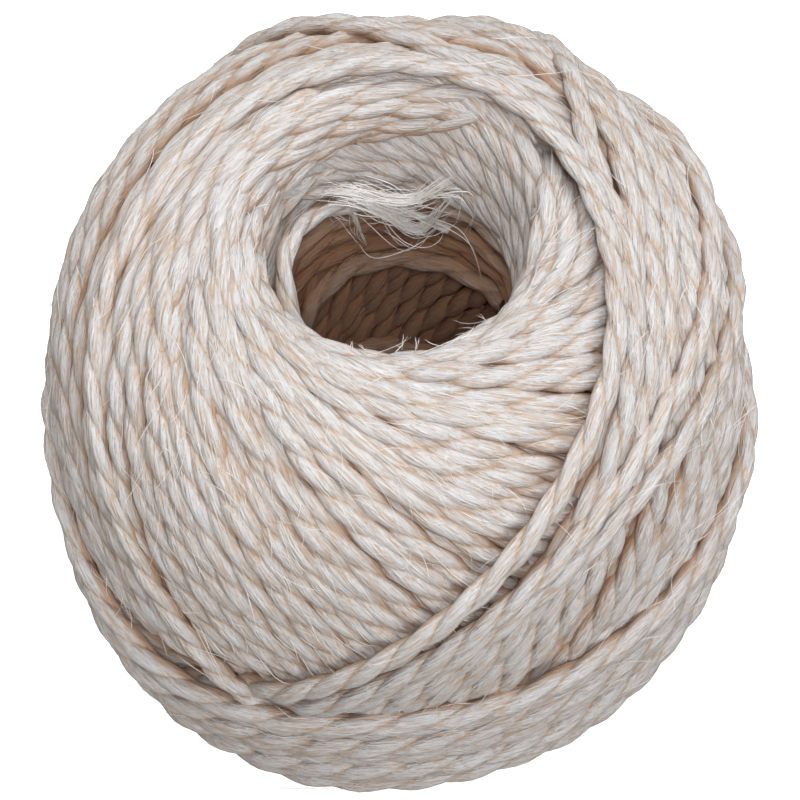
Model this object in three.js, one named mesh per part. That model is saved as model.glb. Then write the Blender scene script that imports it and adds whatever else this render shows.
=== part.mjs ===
// A coreless ball of two-ply sisal twine, wound on a bare spindle that was drawn out afterwards, so
// an open bore runs through the ball from end to end. Millimetres, +Z up. The ball stands on the
// flattened crest round the lower mouth of its bore, and the origin is the middle of its box, on
// the surface that it stands on.
//
// Two pieces: the wound ball, with its bore and the ridges of its main bundles of turns, and the
// short loose end of the twine, which lies along the wall of the bore under the upper mouth.

import * as THREE from 'three';

// Driving dimensions.
const TWINE = 2.8;              // two-ply twine, across
const BODY_RADIUS = 38.2;       // to the valleys between the bundles, at the waist
const BODY_STRETCH = 1.075;     // height of the body's outline over its width
const SQUARENESS = 2.8;         // exponent of the outline: 2 is an ellipse, more is squarer
const CREST_RADIUS = 17.4;      // ring where the ends are highest, round each mouth of the bore
const BORE_RADIUS = 12.4;
const FUNNEL_DEPTH = 9.2;       // from the crest down to where the bore is straight
const FLAT_HEIGHT = 39.8;       // from the flat that the ball stands on up to its middle
const FLAT_WIDTH = 3;           // of the flat ring on the lower crest
const CLEARANCE = 0.3;          // between the loose end and the wall that it lies on

// Fineness of the mesh.
const SECTORS = 90;
const OUTER_STEPS = 32;
const FUNNEL_STEPS = 5;
const WALL_STEPS = 6;
const PATH_STEP_DEGREES = 3;
const CORD_SIDES = 8;
const CORD_STEPS = 14;

const radians = THREE.MathUtils.degToRad;

// Distance from the middle of the ball to the body's surface, in a direction that rises by
// `elevation` above the waist.
function bodyReach(elevation) {
  const across = Math.abs(Math.cos(elevation)) ** SQUARENESS;
  const up = Math.abs(Math.sin(elevation) / BODY_STRETCH) ** SQUARENESS;
  return BODY_RADIUS * (across + up) ** (-1 / SQUARENESS);
}

function onBody(azimuth, elevation) {
  const reach = bodyReach(elevation);
  const level = reach * Math.cos(elevation);
  return new THREE.Vector3(
    level * Math.cos(azimuth), level * Math.sin(azimuth), reach * Math.sin(elevation));
}

// Height of the end crests above the middle, from the outline at the crest's radius.
const CREST_HEIGHT = BODY_RADIUS * BODY_STRETCH
  * (1 - (CREST_RADIUS / BODY_RADIUS) ** SQUARENESS) ** (1 / SQUARENESS);
const CREST_ELEVATION = Math.atan2(CREST_HEIGHT, CREST_RADIUS);
const FUNNEL_BOTTOM = CREST_HEIGHT - FUNNEL_DEPTH;

// The section of the ball in a plane through its axis, once round: from the flat ring over the
// outside to the upper crest, down the funnel, down the straight bore and out to the flat again.
function ballSection() {
  const points = [new THREE.Vector2(CREST_RADIUS + FLAT_WIDTH / 2, -FLAT_HEIGHT)];
  for (let i = 1; i <= OUTER_STEPS; i += 1) {
    const elevation = CREST_ELEVATION * (2 * i / OUTER_STEPS - 1);
    const reach = bodyReach(elevation);
    points.push(new THREE.Vector2(reach * Math.cos(elevation), reach * Math.sin(elevation)));
  }
  const mouth = CREST_RADIUS - BORE_RADIUS;
  for (let i = 1; i <= FUNNEL_STEPS; i += 1) {
    const turn = (Math.PI / 2) * (i / FUNNEL_STEPS);
    points.push(new THREE.Vector2(
      CREST_RADIUS - mouth * Math.sin(turn), FUNNEL_BOTTOM + FUNNEL_DEPTH * Math.cos(turn)));
  }
  for (let i = 1; i < WALL_STEPS; i += 1) {
    const height = FUNNEL_BOTTOM * (1 - 2 * i / WALL_STEPS);
    points.push(new THREE.Vector2(BORE_RADIUS, height));
  }
  for (let i = 0; i < FUNNEL_STEPS - 1; i += 1) {
    const turn = (Math.PI / 2) * (1 - i / FUNNEL_STEPS);
    points.push(new THREE.Vector2(
      CREST_RADIUS - mouth * Math.sin(turn), -FUNNEL_BOTTOM - FUNNEL_DEPTH * Math.cos(turn)));
  }
  points.push(new THREE.Vector2(CREST_RADIUS - FLAT_WIDTH / 2, -FLAT_HEIGHT));
  points.push(points[0].clone());
  return points;
}

// One turn of the winding. It comes closest to the upper mouth at `top`, falls to the waist over
// `ahead` degrees one way and `behind` degrees the other way, and closes round the lower mouth
// after `rounds` times round the axis.
function turnPath({ top, elevation, ahead, behind, rounds }) {
  const lowerWrap = (360 * rounds - ahead - behind) / 2;
  const path = [];
  for (let along = -behind; along < 360 * rounds - behind; along += PATH_STEP_DEGREES) {
    let share = along / (along < 0 ? behind : ahead);
    if (along > ahead) {
      share = 2 + (along - ahead - lowerWrap) / lowerWrap;
    }
    const slope = Math.tan(radians(elevation)) * Math.cos((Math.PI / 2) * share);
    path.push(onBody(radians(top + along), Math.atan(slope)));
  }
  return path;
}

// The main bundles, from the first wound to the last. The lay bundles follow each other round the
// axis, the cross bundles are the last ones over the shoulder, and the waist band closes the ball.
const LAY_BUNDLES = 7;
const LAY_TURN_DEGREES = -360 / LAY_BUNDLES;
const bundles = [];
for (let i = 0; i < LAY_BUNDLES; i += 1) {
  bundles.push({
    top: 50 + LAY_TURN_DEGREES * i, elevation: 65, ahead: 180, behind: 180, rounds: 2,
    width: 3 * TWINE, lift: 0.5 + 0.1 * i,
  });
}
bundles.push(
  { top: 5, elevation: 58, ahead: 190, behind: 110, rounds: 2, width: 3 * TWINE, lift: 1.3 },
  { top: 345, elevation: 50, ahead: 190, behind: 100, rounds: 2, width: 3 * TWINE, lift: 1.5 },
  { top: 100, elevation: 64, ahead: 180, behind: 195, rounds: 2, width: 2 * TWINE, lift: 1.4 },
  { top: 315, elevation: 10, ahead: 90, behind: 90, rounds: 1, width: 5 * TWINE, lift: 1.7 },
);

// How far the outermost bundle at a point stands proud of the body.
function bundleLift(point) {
  let lift = 0;
  for (const bundle of bundles) {
    const reach = bundle.width / 2 + TWINE / 2;
    let nearest = reach;
    for (const place of bundle.path) {
      nearest = Math.min(nearest, point.distanceTo(place));
    }
    const shoulder = THREE.MathUtils.smoothstep(reach - nearest, 0, 1.5 * TWINE);
    lift = Math.max(lift, bundle.lift * shoulder);
  }
  return lift;
}

function woundBall() {
  const geometry = new THREE.LatheGeometry(ballSection(), SECTORS);
  geometry.rotateX(Math.PI / 2);
  const position = geometry.getAttribute('position');
  const point = new THREE.Vector3();
  for (const bundle of bundles) {
    bundle.path = turnPath(bundle);
  }
  for (let i = 0; i < position.count; i += 1) {
    point.fromBufferAttribute(position, i);
    const level = Math.hypot(point.x, point.y);
    const outside = THREE.MathUtils.smoothstep(level, BORE_RADIUS, CREST_RADIUS);
    if (outside > 0) {
      point.setLength(point.length() + outside * bundleLift(point));
    }
    point.z = Math.max(point.z, -FLAT_HEIGHT);
    position.setXYZ(i, point.x, point.y, point.z);
  }
  geometry.computeBoundingBox();
  const middle = geometry.boundingBox.getCenter(new THREE.Vector3());
  geometry.translate(-middle.x, -middle.y, FLAT_HEIGHT);
  return geometry;
}

// The route of the loose end along the wall of the bore: azimuth in degrees round the axis, and
// height above the middle of the ball.
const looseEndRoute = [
  { azimuth: 215, height: 26 },
  { azimuth: 190, height: 29.5 },
  { azimuth: 165, height: 30.5 },
  { azimuth: 135, height: 28.5 },
  { azimuth: 105, height: 25.5 },
  { azimuth: 80, height: 23.5 },
  { azimuth: 58, height: 22.5 },
];

function looseEnd() {
  const level = BORE_RADIUS - CLEARANCE - TWINE / 2;
  const stations = looseEndRoute.map(({ azimuth, height }) => new THREE.Vector3(
    level * Math.cos(radians(azimuth)), level * Math.sin(radians(azimuth)), FLAT_HEIGHT + height));
  const section = new THREE.Shape();
  for (let i = 0; i < CORD_SIDES; i += 1) {
    const turn = 2 * Math.PI * (i / CORD_SIDES);
    const corner = [TWINE / 2 * Math.cos(turn), TWINE / 2 * Math.sin(turn)];
    if (i === 0) {
      section.moveTo(...corner);
    } else {
      section.lineTo(...corner);
    }
  }
  return new THREE.ExtrudeGeometry(section, {
    steps: CORD_STEPS, extrudePath: new THREE.CatmullRomCurve3(stations), bevelEnabled: false,
  });
}

const sisal = { roughness: 0.85, metalness: 0 };
const ball = new THREE.Mesh(
  woundBall(), new THREE.MeshStandardMaterial({ ...sisal, color: 0xd9c9b2 }));
ball.name = 'ball';
const tail = new THREE.Mesh(
  looseEnd(), new THREE.MeshStandardMaterial({ ...sisal, color: 0xe2d6c4 }));
tail.name = 'loose_end';

const twineBall = new THREE.Group();
twineBall.add(ball, tail);
export default twineBall;
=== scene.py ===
# %% [markdown]
# # A small ball of sisal twine
#
# The ball is wound crosswise from two-ply twine, with an open bore through it where the winding
# spindle was. The frame below holds the packed solids: the ball's plain body and the loose end.
# Every length is in metres and +Z runs up the bore, so a piece made here lands where the solid is.

# %% Load the frame and keep the box of the solid ball
import math

import bpy
import numpy as np
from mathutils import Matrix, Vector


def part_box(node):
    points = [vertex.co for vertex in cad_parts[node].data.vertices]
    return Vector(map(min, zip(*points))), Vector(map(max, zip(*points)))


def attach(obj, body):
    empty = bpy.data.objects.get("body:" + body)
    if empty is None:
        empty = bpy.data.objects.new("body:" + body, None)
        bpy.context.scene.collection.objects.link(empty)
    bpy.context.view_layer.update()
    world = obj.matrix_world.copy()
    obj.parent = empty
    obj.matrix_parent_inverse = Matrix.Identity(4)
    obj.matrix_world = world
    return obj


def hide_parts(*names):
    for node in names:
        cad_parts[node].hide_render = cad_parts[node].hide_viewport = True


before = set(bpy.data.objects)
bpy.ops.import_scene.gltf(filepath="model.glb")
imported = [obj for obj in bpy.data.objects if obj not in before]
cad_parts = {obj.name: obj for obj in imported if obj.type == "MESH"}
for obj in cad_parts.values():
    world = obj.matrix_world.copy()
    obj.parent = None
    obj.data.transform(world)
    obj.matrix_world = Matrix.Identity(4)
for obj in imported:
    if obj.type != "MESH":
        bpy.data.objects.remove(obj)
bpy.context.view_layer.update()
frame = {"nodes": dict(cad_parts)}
ball_low, ball_high = (np.array(corner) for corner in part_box("ball"))
TOP_ABOVE_MIDDLE = 0.04039
MIDDLE = float(ball_high[2]) - TOP_ABOVE_MIDDLE
print("the frame holds", ", ".join(frame["nodes"]))
print("the solid ball is", [round(x * 1000, 1) for x in (ball_high - ball_low)], "mm,",
      "and its middle is", round(MIDDLE * 1000, 1), "mm up")

# %% [markdown]
# ## The camera
#
# The ball is seen from high up, so that the bore's far wall shows. A long lens from a third of a
# metre keeps the near strands from growing. The shift stays at nought: to place the ball in the
# frame, the camera aims a little less than a millimetre to the side of its middle and above it.

# %% Camera
VIEW_ELEVATION = math.radians(62.5)
VIEW_DISTANCE = 0.351
AIM_ASIDE, AIM_ABOVE = 0.0007, 0.00078
camera_data = bpy.data.cameras.new("camera")
camera = bpy.data.objects.new("camera", camera_data)
bpy.context.scene.collection.objects.link(camera)
bpy.context.scene.camera = camera
away = np.array([0.0, -math.cos(VIEW_ELEVATION), math.sin(VIEW_ELEVATION)])
upward = np.array([0.0, math.sin(VIEW_ELEVATION), math.cos(VIEW_ELEVATION)])
aim = np.array([AIM_ASIDE, 0.0, MIDDLE]) + AIM_ABOVE * upward
camera.location = aim + VIEW_DISTANCE * away
camera.rotation_euler = (math.pi / 2 - VIEW_ELEVATION, 0, 0)
camera_data.lens = 141.75
camera_data.sensor_width = 36
camera_data.clip_start, camera_data.clip_end = 0.01, 10
print("camera at", [round(x, 4) for x in camera.location])

# %% [markdown]
# ## The twine
#
# Two plies are twisted round each other to the left, so a section is two overlapping rounds that
# turn as they go along. A curve with a bevel can't turn its section, so a strand is built ring by
# ring: each ring holds the same 16 corners of the section, turned a little further. Six of the
# corners crowd the two grooves, which keeps a groove a clean line. Real plies press flat on each
# other, so the section lies between two full rounds and one oval.

# %% One strand from its centre line
TWINE = 0.0028
PLY_RADIUS, PLY_OFFSET = 0.00098, 0.00036
PITCH = 0.0112
STEP = 0.0012
ROUNDNESS = 0.6
LOWER_THAN_WIDE, WIDER_THAN_HIGH = 0.96, 1.03
half_round = [0, 30, 55, 76, 90, 104, 125, 150]
corner_angles = np.radians(half_round + [180 + angle for angle in half_round])
CORNERS = len(corner_angles)
two_rounds = PLY_OFFSET * abs(np.cos(corner_angles)) + np.sqrt(
    PLY_RADIUS ** 2 - (PLY_OFFSET * np.sin(corner_angles)) ** 2)
one_oval = 1 / np.hypot(
    np.cos(corner_angles) / (PLY_RADIUS + PLY_OFFSET), np.sin(corner_angles) / PLY_RADIUS)
corner_reach = ROUNDNESS * two_rounds + (1 - ROUNDNESS) * one_oval
corner_groove = 1 - np.clip(abs(np.cos(corner_angles)) / 0.5, 0, 1)


def unit(v):
    """The same directions at length one."""
    return v / np.maximum(np.linalg.norm(v, axis=-1, keepdims=True), 1e-12)


def along(line, closed=False):
    """The direction in which a line runs, at each of its stations."""
    if closed:
        return unit(np.roll(line, -1, 0) - np.roll(line, 1, 0))
    return unit(np.gradient(line, axis=0))


def strand(line, outward, twist, girth, closed=False):
    """Corners of every ring, and each corner's place in the strand as if it were pulled straight."""
    ahead = along(line, closed)
    lift = unit(outward - ahead * np.sum(outward * ahead, 1, keepdims=True))
    side = np.cross(ahead, lift)
    steps = np.linalg.norm(np.diff(line, axis=0), axis=1)
    run = np.concatenate([[0], np.cumsum(steps)])
    angle = corner_angles[None, :] + twist[:, None]
    high = corner_reach * np.cos(angle) * girth[:, None] * LOWER_THAN_WIDE
    wide = corner_reach * np.sin(angle) * girth[:, None] * WIDER_THAN_HIGH
    rings = line[:, None] + high[..., None] * lift[:, None] + wide[..., None] * side[:, None]
    unwound = np.stack([high, wide, np.repeat(run[:, None], CORNERS, 1)], -1)
    return rings, unwound


print("twine is", round(2000 * corner_reach.max(), 2), "mm across at the plies and",
      round(2000 * corner_reach.min(), 2), "mm at the grooves")

# %% [markdown]
# ## From strands to one mesh
#
# The ball shows hundreds of stretches of twine. One object each would be slow to draw and to
# export, so the stretches are gathered into a few meshes. Each corner carries what its material
# needs: its place in the straight strand, how deep it lies in the groove and between the strands,
# which sets its painted shade, and the tone of its stretch. The underside of a strand lies on
# other strands, so its faces are left out. The map lays the stretches side by side in rows, so
# nothing overlaps when it is baked.

# %% Gather stretches into a mesh
ROW_WIDTH = 0.0094
ROW_USED, CELL_USED = 0.96, 0.999
attribute_kinds = {"unwound": "FLOAT_VECTOR", "groove": "FLOAT", "nest": "FLOAT", "tone": "FLOAT"}


def strand_mesh(name, stretches, underside=-1.0):
    """Faces that lie deeper than the underside, measured from the middle line, are left out."""
    places = np.concatenate([s["rings"] for s in stretches]).reshape(-1, 3)
    unwound = np.concatenate([s["unwound"] for s in stretches]).reshape(-1, 3)
    lengths = [len(s["rings"]) for s in stretches]
    starts = np.concatenate([[0], np.cumsum(lengths)])[:-1]
    first = np.concatenate([np.arange(a, a + n - 1) for a, n in zip(starts, lengths)])
    k = np.arange(CORNERS)
    following = (k + 1) % CORNERS
    quads = np.stack([
        first[:, None] * CORNERS + k, first[:, None] * CORNERS + following,
        (first[:, None] + 1) * CORNERS + following, (first[:, None] + 1) * CORNERS + k], -1)
    seen = unwound[quads, 0].max(-1) > underside
    used, quads = np.unique(quads[seen], return_inverse=True)
    faces = int(seen.sum())
    mesh = bpy.data.meshes.new(name)
    mesh.vertices.add(len(used))
    mesh.vertices.foreach_set("co", places[used].astype(np.float32).ravel())
    mesh.loops.add(faces * 4)
    mesh.loops.foreach_set("vertex_index", quads.ravel().astype(np.int32))
    mesh.polygons.add(faces)
    mesh.polygons.foreach_set("loop_start", np.arange(0, faces * 4, 4, dtype=np.int32))
    mesh.polygons.foreach_set("use_smooth", np.ones(faces, bool))
    # The rows of the map, filled from end to end with equal short lengths of twine.
    row_length = math.sqrt(len(first) * STEP * ROW_WIDTH) * 1.02
    per_row = int(row_length / STEP)
    cell = np.arange(len(first))
    column, row = cell % per_row, cell // per_row
    side = max(row_length, (row.max() + 1) * ROW_WIDTH)
    low = (row[:, None] + (k / CORNERS) * ROW_USED) * ROW_WIDTH / side
    high = (row[:, None] + ((k + 1) / CORNERS) * ROW_USED) * ROW_WIDTH / side
    left = np.broadcast_to(column[:, None] * STEP / side, low.shape)
    right = np.broadcast_to((column[:, None] + CELL_USED) * STEP / side, low.shape)
    corners = np.stack([
        np.stack([left, low], -1), np.stack([left, high], -1),
        np.stack([right, high], -1), np.stack([right, low], -1)], -2)[seen]
    mesh.uv_layers.new(name="OFBake").data.foreach_set("uv", corners.astype(np.float32).ravel())
    for key, kind in attribute_kinds.items():
        values = np.concatenate([s[key].reshape(len(s["rings"]) * CORNERS, -1) for s in stretches])
        mesh.attributes.new(key, kind, "POINT").data.foreach_set(
            "vector" if kind == "FLOAT_VECTOR" else "value", values[used].astype(np.float32).ravel())
    mesh.update()
    mesh.validate()
    piece = bpy.data.objects.new(name, mesh)
    bpy.context.scene.collection.objects.link(piece)
    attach(piece, "root")
    print(name, "has", len(stretches), "stretches and", faces * 2, "triangles")
    return piece


def stretch(rings, unwound, nest, tone, shift):
    """What a mesh needs from one stretch of strand. The shift gives it streaks of its own."""
    return {
        "rings": rings, "unwound": unwound + shift * np.array([0, 0, 1]),
        "groove": np.repeat(corner_groove[None], len(rings), 0),
        "nest": nest, "tone": np.repeat(tone[:, None], CORNERS, 1)}


print("a mesh of twine carries", ", ".join(attribute_kinds))


# %% [markdown]
# ## The loose end
#
# The twine was started on the spindle and its first end now lies in the bore, along the far wall
# under the mouth. It is a free cord, so it takes the route of its solid, half a millimetre further
# out, so that it rests on the strands of the wall. Towards the tip it thins, because its fibres
# leave it one after another. The fibres themselves are added later on.

# %% Loose end
rng = np.random.default_rng(11)
LOOSE_LEVEL = 0.0112
# Azimuths in degrees, and heights above the middle of the ball.
loose_route = [
    (215, 0.026), (190, 0.0295), (165, 0.0305), (135, 0.0285), (105, 0.0255), (80, 0.0235),
    (58, 0.0225)]


def smooth_line(points, count):
    """A smooth line through the points, with evenly spread stations."""
    points = np.array(points, float)
    padded = np.vstack([2 * points[0] - points[1], points, 2 * points[-1] - points[-2]])
    fine = []
    for i in range(len(points) - 1):
        a, b, c, d = padded[i:i + 4]
        t = np.linspace(0, 1, 24, endpoint=False)[:, None]
        fine.append(0.5 * (2 * b + (c - a) * t + (2 * a - 5 * b + 4 * c - d) * t ** 2
                           + (3 * b - a - 3 * c + d) * t ** 3))
    fine = np.vstack(fine + [points[-1:]])
    run = np.concatenate([[0], np.cumsum(np.linalg.norm(np.diff(fine, axis=0), axis=1))])
    even = np.linspace(0, run[-1], count)
    return np.stack([np.interp(even, run, fine[:, i]) for i in range(3)], 1), run[-1]


def on_wall(azimuth, level, up):
    """The point at an azimuth in degrees, a distance from the axis and a height over the middle."""
    turn = math.radians(azimuth)
    return level * math.cos(turn), level * math.sin(turn), MIDDLE + up


loose_line, loose_length = smooth_line(
    [on_wall(azimuth, LOOSE_LEVEL, up) for azimuth, up in loose_route], 46)
inward = -loose_line * [1, 1, 0]
share = np.linspace(0, 1, len(loose_line))
loose_twist = -2 * math.pi * share * loose_length / PITCH
loose_girth = 0.84 - 0.45 * np.clip((share - 0.35) / 0.65, 0, 1)
loose_rings, loose_unwound = strand(loose_line, inward, loose_twist, loose_girth)
# The side of the cord that lies against the wall gets painted shade.
loose_end = strand_mesh("loose_end_twine", [stretch(
    loose_rings, loose_unwound, np.clip(0.24 - 150 * loose_unwound[..., 0], 0, 1),
    np.full(len(loose_rings), 0.7), 40.0)])
print("loose end is", round(loose_length * 1000, 1), "mm long")

# %% [markdown]
# ## The shape that the turns lie on
#
# Cut through its axis, the ball is a rounded square, a little taller than it is wide, whose two ends
# turn over a crest and dip into the bore. The middle line of an outermost strand follows that
# outline. A place on it is told by its distance along the outline from the waist, and a strand
# that is pressed down moves inwards there: square to the outline outside, and straight down
# at the mouth, where turns lie on top of each other.

# %% Outline of the ball, as the strands' middle lines follow it
WOUND_RADIUS, STRETCH, SQUARENESS = 0.0368, 1.125, 2.9
LOWER_HALF_HEIGHT = 0.955
CREST_RADIUS, THROAT_RADIUS, THROAT_DEPTH = 0.0170, 0.0140, 0.0050
PRESS_FADE = 0.009


def outline(elevation):
    """Distance from the axis and height over the middle, for an elevation seen from the middle."""
    reach = WOUND_RADIUS * (np.cos(elevation) ** SQUARENESS
                            + (np.sin(elevation) / STRETCH) ** SQUARENESS) ** (-1 / SQUARENESS)
    return reach * np.cos(elevation), reach * np.sin(elevation)


elevations = np.radians(np.linspace(0, 82, 1200))
plain_level, plain_height = outline(elevations)
outside = plain_level >= CREST_RADIUS
crest_height = plain_height[outside][-1]
throat_turn = np.linspace(0, math.pi / 2, 200)[1:]
throat_level = CREST_RADIUS - (CREST_RADIUS - THROAT_RADIUS) * np.sin(throat_turn)
throat_height = crest_height - THROAT_DEPTH * (1 - np.cos(throat_turn))
half_level = np.concatenate([plain_level[outside], throat_level])
half_height = np.concatenate([plain_height[outside], throat_height])
half_run = np.concatenate([[0], np.cumsum(np.hypot(np.diff(half_level), np.diff(half_height)))])
# The elevation that a plain outline has at the same distance from the axis.
half_elevation = np.concatenate([
    elevations[outside], np.interp(-throat_level, -plain_level[1:], elevations[1:])])
RUN_END = half_run[-1]
slope_level, slope_height = np.gradient(half_level, half_run), np.gradient(half_height, half_run)
press_level, press_height = slope_height.copy(), -slope_level.copy()
# Towards the crest, pressing turns from square to the outline to straight down.
fade = np.clip((half_level - CREST_RADIUS) / PRESS_FADE, 0, 1)
press_level = press_level * fade ** 2 * (3 - 2 * fade)
press_height = np.maximum(press_height, 1e-3)
press_height[half_level < CREST_RADIUS + 1e-6] = 1
press_size = np.hypot(press_level, press_height)
press_level, press_height = press_level / press_size, press_height / press_size


def on_ball(run, azimuth, height):
    """The point at a distance along the outline, an azimuth and a height above the outline."""
    size, sign = abs(run), np.sign(run)
    level = np.interp(size, half_run, half_level) + height * np.interp(size, half_run, press_level)
    up = np.interp(size, half_run, half_height) + height * np.interp(size, half_run, press_height)
    up = np.where(sign > 0, up, -LOWER_HALF_HEIGHT * up)
    return np.stack([level * np.cos(azimuth), level * np.sin(azimuth), MIDDLE + up], -1)


def pressing(run, azimuth):
    """The direction against which a strand is pressed down."""
    size, sign = abs(run), np.sign(run)
    level = np.interp(size, half_run, press_level)
    return np.stack([level * np.cos(azimuth), level * np.sin(azimuth),
                     sign * np.interp(size, half_run, press_height)], -1)


print("crest at", round(crest_height * 1000, 2), "mm, outline", round(RUN_END * 2000, 1), "mm")

# %% [markdown]
# ## How the turns run
#
# The spindle leans while the ball is wound, so a turn climbs to one mouth, passes close by the bore,
# falls across the waist and passes the other mouth before it closes. The tangent of its
# elevation follows a cosine of the azimuth, which is the path a taut thread takes. Each next
# turn starts a few degrees further round.
#
# A turn is told by its top, which is the azimuth where it comes closest to the upper mouth, by its
# elevation there, and by the degrees that it takes to fall to the waist ahead of the top and behind
# it. The numbers count down to the last turn. The first turns step round evenly, and the later
# ones wander as the winder's hand did. Below number 1, a turn closes after once round instead of
# twice, and each lies lower than the one before.

# %% Lay turns, from the first laid to the last
LAY_STEP = 4.9
EVEN_DOWN_TO = 25
turns = []
numbers = np.concatenate([
    np.arange(86, EVEN_DOWN_TO, -0.85), np.arange(EVEN_DOWN_TO, 12, -0.6),
    np.arange(12, 10, -0.4), np.arange(10, 1, -0.95), np.arange(1, -10, -2)])
for number in numbers:
    outer = max(1 - number, 0)
    top = LAY_STEP * max(number - EVEN_DOWN_TO, 0) + np.interp(
        number, (1, 4, 6, 7, 10, 12, 13.5, 15.8, 18.3, 19.6, 21, 22.7, 23.9, 25),
        (90, 90, 96, 104, 118, 130, 140, 156, 165, 170, 180, 200, 225, 250))
    elevation = np.interp(number, (1, 2, 3, 4, 5), (59, 63.5, 67, 69, 70.2)) - 2.7 * outer
    elevation -= 4.2 * min(max((top - 340) / 30, 0), 1)
    waist = np.interp(number, (1, 10, 12, 25), (223, 268, 290, 368)) - 2.0 * outer
    turns.append({
        "kind": "lay", "top": top + rng.uniform(-0.5, 0.5),
        "elevation": elevation + rng.uniform(-0.4, 0.3),
        "ahead": max(waist - top, 118) + rng.uniform(-1, 1),
        "behind": (94 if outer else 108 if number < 20 else 150) + rng.uniform(-2, 2),
        "bend": 1, "flat_top": np.interp(number, (1, 2, 3, 6, 8), (1.5, 1.25, 1.12, 1.05, 1)),
        "girth": 1.02, "rounds": 1 if outer else 2, "level": -0.0003, "below": None})
print(len(turns), "lay turns")

# %% [markdown]
# ## The last turns
#
# The last turns cross over all the others. First comes a fan of slanting turns that fills the
# right shoulder, each steeper than the one before. Bolder ones follow, which lie on each other, so
# each has a level: how far it stands proud, in thicknesses of twine. A bend other than 1 makes a
# turn fall sooner or later behind its top.
#
# A band of turns round the waist locks them. It isn't level: it runs just over the waist in front,
# dips on the left, and climbs again behind. One route serves all its turns, each a few degrees
# below the one before, and by turns they stand half a strand and almost a whole one proud, as
# bundled strands do.

# %% Shoulder turns and waist band
MOST_ONCE_ROUND = 300
shoulder_turns = [
    # top, elevation, ahead, behind, bend, level in twines
    *((22 + 2 * math.sin(2.1 * i), 12 + 3.3 * i, 90, 90, 1, 0.04 * (i % 3)) for i in range(14)),
    (0, 51, 94, 80, 1, 0.25),
    (3, 54, 100, 88, 1, 0.3),
    (3, 57, 110, 92, 1, 0.35),
    (50, 63.5, 91, 143, 1, 0.45),
    (16, 60.9, 67, 115, 0.81, 0.5),
    (324, 39.5, 98, 70, 1, 0.6),
    (334.7, 45.4, 115, 84, 0.98, 0.7),
    (74.9, 65.8, 172, 191, 1.1, 0.95),
]
for top, elevation, ahead, behind, bend, level in shoulder_turns:
    turns.append({
        "kind": "shoulder", "top": top, "elevation": elevation, "ahead": ahead,
        "behind": behind, "bend": bend, "flat_top": 1,
        "rounds": 1 if ahead + behind < MOST_ONCE_ROUND else 2,
        "level": level * TWINE, "girth": 0.98 if level > 0.4 else 1.06, "below": None})
BAND_AZIMUTHS = (0, 60, 120, 165, 181, 197, 205, 228, 247, 260, 273, 301, 338, 360)
BAND_ELEVATIONS = (3, 0, 2, 5, 5, 0, -4, -7.5, -2.5, 3, 6, 7.5, 6.5, 3)
for level, below in ((0.95, 0), (0.50, 5.5), (0.85, 10.3), (0.50, 16), (0.80, 21), (0.50, 26.8),
                     (0.70, 31.8), (0.40, 37.5)):
    turns.append({
        "kind": "waist", "top": 298, "elevation": rng.uniform(-1, 1), "below": below,
        "ahead": 90, "behind": 90, "bend": 1, "flat_top": 1, "rounds": 1,
        "level": level * TWINE, "girth": 1.14})
print(len(turns), "turns in all")

# %% [markdown]
# ## From a turn's figures to its path
#
# The law gives an elevation for every azimuth. Strands are built from rings at even distances, so
# the path is then measured and cut again into equal steps.

# %% Path of a turn
SAMPLES = 1440


def turn_path(turn):
    """Stations of a closed turn: distance along the outline and azimuth, evenly spread."""
    ahead, behind, whole = turn["ahead"], turn["behind"], 360 * turn["rounds"]
    lower = (whole - ahead - behind) / 2
    degrees = np.linspace(-behind, whole - behind, SAMPLES + 1)[:-1]
    part = np.where(degrees < 0, -abs(degrees / behind) ** turn["bend"],
                    abs(degrees / ahead) ** turn["flat_top"])
    part = np.where(degrees > ahead, 2 + (degrees - ahead - lower) / lower, part)
    steepness = math.tan(math.radians(turn["elevation"])) * np.cos(math.pi / 2 * part)
    elevation = np.arctan(steepness)
    if turn["below"] is not None:
        # The band's route, smoothed over a few degrees.
        band = np.interp((turn["top"] + degrees) % 360, BAND_AZIMUTHS, BAND_ELEVATIONS)
        kernel = np.exp(-0.5 * (np.arange(-40, 41) / 26) ** 2)
        band = np.convolve(np.tile(band, 3), kernel / kernel.sum(), "same")[len(band):2 * len(band)]
        elevation += np.radians(band - turn["below"])
    run = np.sign(elevation) * np.interp(abs(elevation), half_elevation, half_run)
    azimuth = np.radians(turn["top"] + degrees)
    line = on_ball(run, azimuth, 0)
    steps = np.linalg.norm(np.roll(line, -1, 0) - line, axis=1)
    travelled = np.concatenate([[0], np.cumsum(steps)])
    count = int(round(travelled[-1] / STEP))
    even = np.arange(count) * travelled[-1] / count
    run = np.interp(even, travelled, np.append(run, run[0]))
    azimuth = np.interp(even, travelled, np.append(azimuth, azimuth[0] + math.radians(whole)))
    return run, azimuth


path_lengths = [len(turn_path(turn)[0]) * STEP for turn in turns]
print("a turn takes", round(min(path_lengths), 3), "to", round(max(path_lengths), 3),
      "m of twine, all", round(sum(path_lengths), 1), "m")

# %% [markdown]
# ## Which turn lies on which
#
# A physics run of fifty metres of twine would take hours. The order of laying already says what lies
# on what, so the turns are placed from the last to the first instead. Each turn leaves a low
# ceiling where it passes, and every earlier turn has to duck under that ceiling, smoothly,
# as a taut strand does. Two strands that cross need their full thickness. Where two strands run
# side by side with too little room, the earlier one ducks out of sight until there is room again.
# Which of the two it is depends on their headings, so the ceilings are kept in nine bins of
# heading. A third map holds the surface of what lies on top already, which tells whether a
# later look at a turn finds it hidden.

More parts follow.
